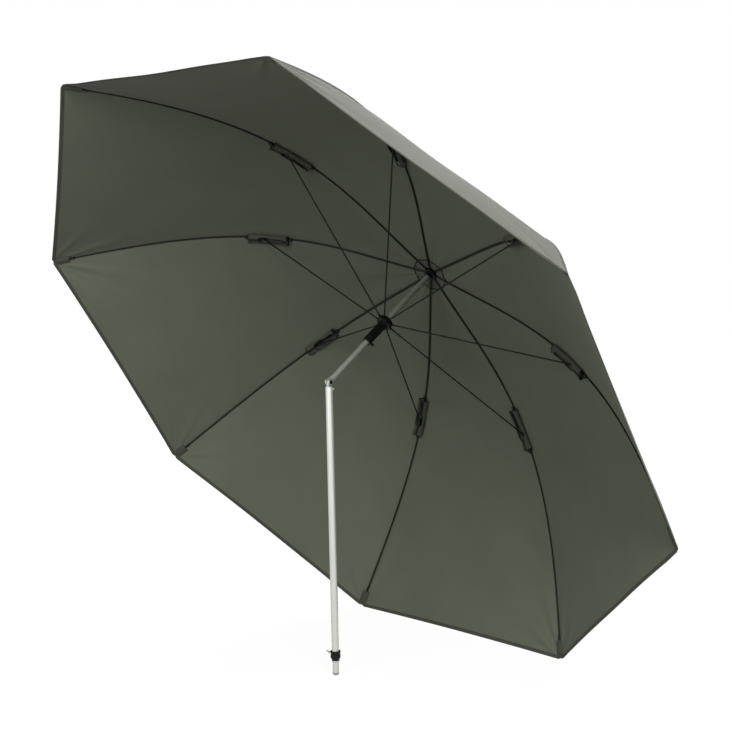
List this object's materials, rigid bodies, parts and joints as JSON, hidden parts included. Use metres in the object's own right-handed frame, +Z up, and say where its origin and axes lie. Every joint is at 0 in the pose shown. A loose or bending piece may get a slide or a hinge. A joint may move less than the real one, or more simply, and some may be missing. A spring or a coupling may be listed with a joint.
{
  "type": "fishing umbrella",
  "caption": "Fishing umbrella with a dark olive domed canopy on ribs and stretchers, a tilting mast, a runner and a telescopic metal lower pole.",
  "frame": {"origin": "middle of the ground plug's flat lower end, at ground level", "axes": "+Z up the lower pole, +X along the tilt hinge, -Y out of the canopy's open side"},
  "size_m": [2.4114, 1.4356, 2.0238],
  "materials": {
    "aluminium_tube": "satin",
    "grey_fitting": "matte cast",
    "steel_wire": "satin",
    "black_plastic": "moulded",
    "black_rod": "satin black",
    "pad_fabric": "coated woven",
    "canopy_fabric": "coated woven"
  },
  "bodies": {
    "ground_post": {"ground_tube": "aluminium_tube", "ground_plug": "grey_fitting", "guide_bush": "black_plastic"},
    "pole": {"lower_pole": "aluminium_tube", "lock_collar": "black_plastic", "elbow_tongue": "grey_fitting", "elbow_pin": "steel_wire"},
    "lever": {"collar_lever": "grey_fitting"},
    "button": {"tilt_button": "grey_fitting"},
    "mast": {"elbow_fork": "grey_fitting", "mast_tube": "aluminium_tube", "top_notch": "black_plastic", "notch_wire": "steel_wire", "crown_cap": "black_plastic"},
    "slider": {"runner": "black_plastic", "runner_wire": "steel_wire"},
    "screw": {"runner_screw": "black_plastic"},
    "rib_frame_1": {"rib_1": "black_rod", "tip_cap_1": "black_plastic", "guard_pad_1": "pad_fabric", "canopy_section_1": "canopy_fabric"},
    "strut_1": {"stretcher_1": "black_rod"},
    "rib_frame_2": {"rib_2": "black_rod", "tip_cap_2": "black_plastic", "guard_pad_2": "pad_fabric", "canopy_section_2": "canopy_fabric"},
    "strut_2": {"stretcher_2": "black_rod"},
    "rib_frame_3": {"rib_3": "black_rod", "tip_cap_3": "black_plastic", "guard_pad_3": "pad_fabric", "canopy_section_3": "canopy_fabric"},
    "strut_3": {"stretcher_3": "black_rod"},
    "rib_frame_4": {"rib_4": "black_rod", "tip_cap_4": "black_plastic", "guard_pad_4": "pad_fabric", "canopy_section_4": "canopy_fabric"},
    "strut_4": {"stretcher_4": "black_rod"},
    "rib_frame_5": {"rib_5": "black_rod", "tip_cap_5": "black_plastic", "guard_pad_5": "pad_fabric", "canopy_section_5": "canopy_fabric"},
    "strut_5": {"stretcher_5": "black_rod"},
    "rib_frame_6": {"rib_6": "black_rod", "tip_cap_6": "black_plastic", "guard_pad_6": "pad_fabric", "canopy_section_6": "canopy_fabric"},
    "strut_6": {"stretcher_6": "black_rod"},
    "rib_frame_7": {"rib_7": "black_rod", "tip_cap_7": "black_plastic", "guard_pad_7": "pad_fabric", "canopy_section_7": "canopy_fabric"},
    "strut_7": {"stretcher_7": "black_rod"},
    "rib_frame_8": {"rib_8": "black_rod", "tip_cap_8": "black_plastic", "guard_pad_8": "pad_fabric", "canopy_section_8": "canopy_fabric"},
    "strut_8": {"stretcher_8": "black_rod"}
  },
  "joints": [
    {"name": "pole_extension", "type": "slide", "parent": "ground_post", "child": "pole", "axis": [0, 0, 1], "range_m": [0, 0.75]},
    {"name": "collar_lever_hinge", "type": "hinge", "parent": "pole", "child": "lever", "pos_m": [-0.01556, -0.01556, 0.082], "axis": [0.7071, -0.7071, 0], "range_deg": [0, 120]},
    {"name": "tilt_button_press", "type": "slide", "parent": "pole", "child": "button", "axis": [-0.7071, -0.7071, 0], "range_m": [0, 0.003], "stiffness_N_per_m": 800, "springref_m": -0.0005},
    {"name": "mast_tilt", "type": "hinge", "parent": "pole", "child": "mast", "pos_m": [0, 0, 1.027], "axis": [1, 0, 0], "range_deg": [0, 57]},
    {"name": "runner_slide", "type": "slide", "parent": "mast", "child": "slider", "axis": [0, -0.8387, -0.5446], "range_m": [0, 0.19], "deforming": ["canopy_section_1", "canopy_section_2", "canopy_section_3", "canopy_section_4", "canopy_section_5", "canopy_section_6", "canopy_section_7", "canopy_section_8"]},
    {"name": "runner_screw_turn", "type": "hinge", "parent": "slider", "child": "screw", "pos_m": [0, 0.19206, 1.15172], "axis": [0.5736, 0.4461, -0.687], "range_deg": [-180, 180]},
    {"name": "rib_hinge_1", "type": "hinge", "parent": "mast", "child": "rib_frame_1", "pos_m": [0.01617, 0.52865, 1.36233], "axis": [-0.3827, 0.5032, -0.7748], "range_deg": [0, 8.6]},
    {"name": "stretcher_hinge_1", "type": "hinge", "parent": "rib_frame_1", "child": "strut_1", "pos_m": [0.61529, 0.54059, 1.07418], "axis": [0.3827, -0.5032, 0.7748], "range_deg": [0, 17.2]},
    {"name": "rib_hinge_2", "type": "hinge", "parent": "mast", "child": "rib_frame_2", "pos_m": [0.0067, 0.53381, 1.35438], "axis": [-0.9239, 0.2084, -0.3209], "range_deg": [0, 8.6]},
    {"name": "stretcher_hinge_2", "type": "hinge", "parent": "rib_frame_2", "child": "strut_2", "pos_m": [0.25486, 0.73689, 0.7719], "axis": [0.9239, -0.2084, 0.3209], "range_deg": [0, 17.2]},
    {"name": "rib_hinge_3", "type": "hinge", "parent": "mast", "child": "rib_frame_3", "pos_m": [-0.0067, 0.53381, 1.35438], "axis": [-0.9239, -0.2084, 0.3209], "range_deg": [0, 8.6]},
    {"name": "stretcher_hinge_3", "type": "hinge", "parent": "rib_frame_3", "child": "strut_3", "pos_m": [-0.25486, 0.73689, 0.7719], "axis": [0.9239, 0.2084, -0.3209], "range_deg": [0, 17.2]},
    {"name": "rib_hinge_4", "type": "hinge", "parent": "mast", "child": "rib_frame_4", "pos_m": [-0.01617, 0.52865, 1.36233], "axis": [-0.3827, -0.5032, 0.7748], "range_deg": [0, 8.6]},
    {"name": "stretcher_hinge_4", "type": "hinge", "parent": "rib_frame_4", "child": "strut_4", "pos_m": [-0.61529, 0.54059, 1.07418], "axis": [0.3827, 0.5032, -0.7748], "range_deg": [0, 17.2]},
    {"name": "rib_hinge_5", "type": "hinge", "parent": "mast", "child": "rib_frame_5", "pos_m": [-0.01617, 0.52136, 1.37356], "axis": [0.3827, -0.5032, 0.7748], "range_deg": [0, 8.6]},
    {"name": "stretcher_hinge_5", "type": "hinge", "parent": "rib_frame_5", "child": "strut_5", "pos_m": [-0.61529, 0.26298, 1.50167], "axis": [-0.3827, 0.5032, -0.7748], "range_deg": [0, 17.2]},
    {"name": "rib_hinge_6", "type": "hinge", "parent": "mast", "child": "rib_frame_6", "pos_m": [-0.0067, 0.5162, 1.3815], "axis": [0.9239, -0.2084, 0.3209], "range_deg": [0, 8.6]},
    {"name": "stretcher_hinge_6", "type": "hinge", "parent": "rib_frame_6", "child": "strut_6", "pos_m": [-0.25486, 0.06667, 1.80394], "axis": [-0.9239, 0.2084, -0.3209], "range_deg": [0, 17.2]},
    {"name": "rib_hinge_7", "type": "hinge", "parent": "mast", "child": "rib_frame_7", "pos_m": [0.0067, 0.5162, 1.3815], "axis": [0.9239, 0.2084, -0.3209], "range_deg": [0, 8.6]},
    {"name": "stretcher_hinge_7", "type": "hinge", "parent": "rib_frame_7", "child": "strut_7", "pos_m": [0.25486, 0.06667, 1.80394], "axis": [-0.9239, -0.2084, 0.3209], "range_deg": [0, 17.2]},
    {"name": "rib_hinge_8", "type": "hinge", "parent": "mast", "child": "rib_frame_8", "pos_m": [0.01617, 0.52136, 1.37356], "axis": [0.3827, 0.5032, -0.7748], "range_deg": [0, 8.6]},
    {"name": "stretcher_hinge_8", "type": "hinge", "parent": "rib_frame_8", "child": "strut_8", "pos_m": [0.61529, 0.26298, 1.50167], "axis": [-0.3827, -0.5032, 0.7748], "range_deg": [0, 17.2]}
  ],
  "couplings": [
    {"joint": "rib_hinge_1", "follows": "runner_slide", "rad_per_m": 0.78753},
    {"joint": "stretcher_hinge_1", "follows": "runner_slide", "rad_per_m": 1.5746},
    {"joint": "rib_hinge_2", "follows": "runner_slide", "rad_per_m": 0.78753},
    {"joint": "stretcher_hinge_2", "follows": "runner_slide", "rad_per_m": 1.5746},
    {"joint": "rib_hinge_3", "follows": "runner_slide", "rad_per_m": 0.78753},
    {"joint": "stretcher_hinge_3", "follows": "runner_slide", "rad_per_m": 1.5746},
    {"joint": "rib_hinge_4", "follows": "runner_slide", "rad_per_m": 0.78753},
    {"joint": "stretcher_hinge_4", "follows": "runner_slide", "rad_per_m": 1.5746},
    {"joint": "rib_hinge_5", "follows": "runner_slide", "rad_per_m": 0.78753},
    {"joint": "stretcher_hinge_5", "follows": "runner_slide", "rad_per_m": 1.5746},
    {"joint": "rib_hinge_6", "follows": "runner_slide", "rad_per_m": 0.78753},
    {"joint": "stretcher_hinge_6", "follows": "runner_slide", "rad_per_m": 1.5746},
    {"joint": "rib_hinge_7", "follows": "runner_slide", "rad_per_m": 0.78753},
    {"joint": "stretcher_hinge_7", "follows": "runner_slide", "rad_per_m": 1.5746},
    {"joint": "rib_hinge_8", "follows": "runner_slide", "rad_per_m": 0.78753},
    {"joint": "stretcher_hinge_8", "follows": "runner_slide", "rad_per_m": 1.5746}
  ]
}
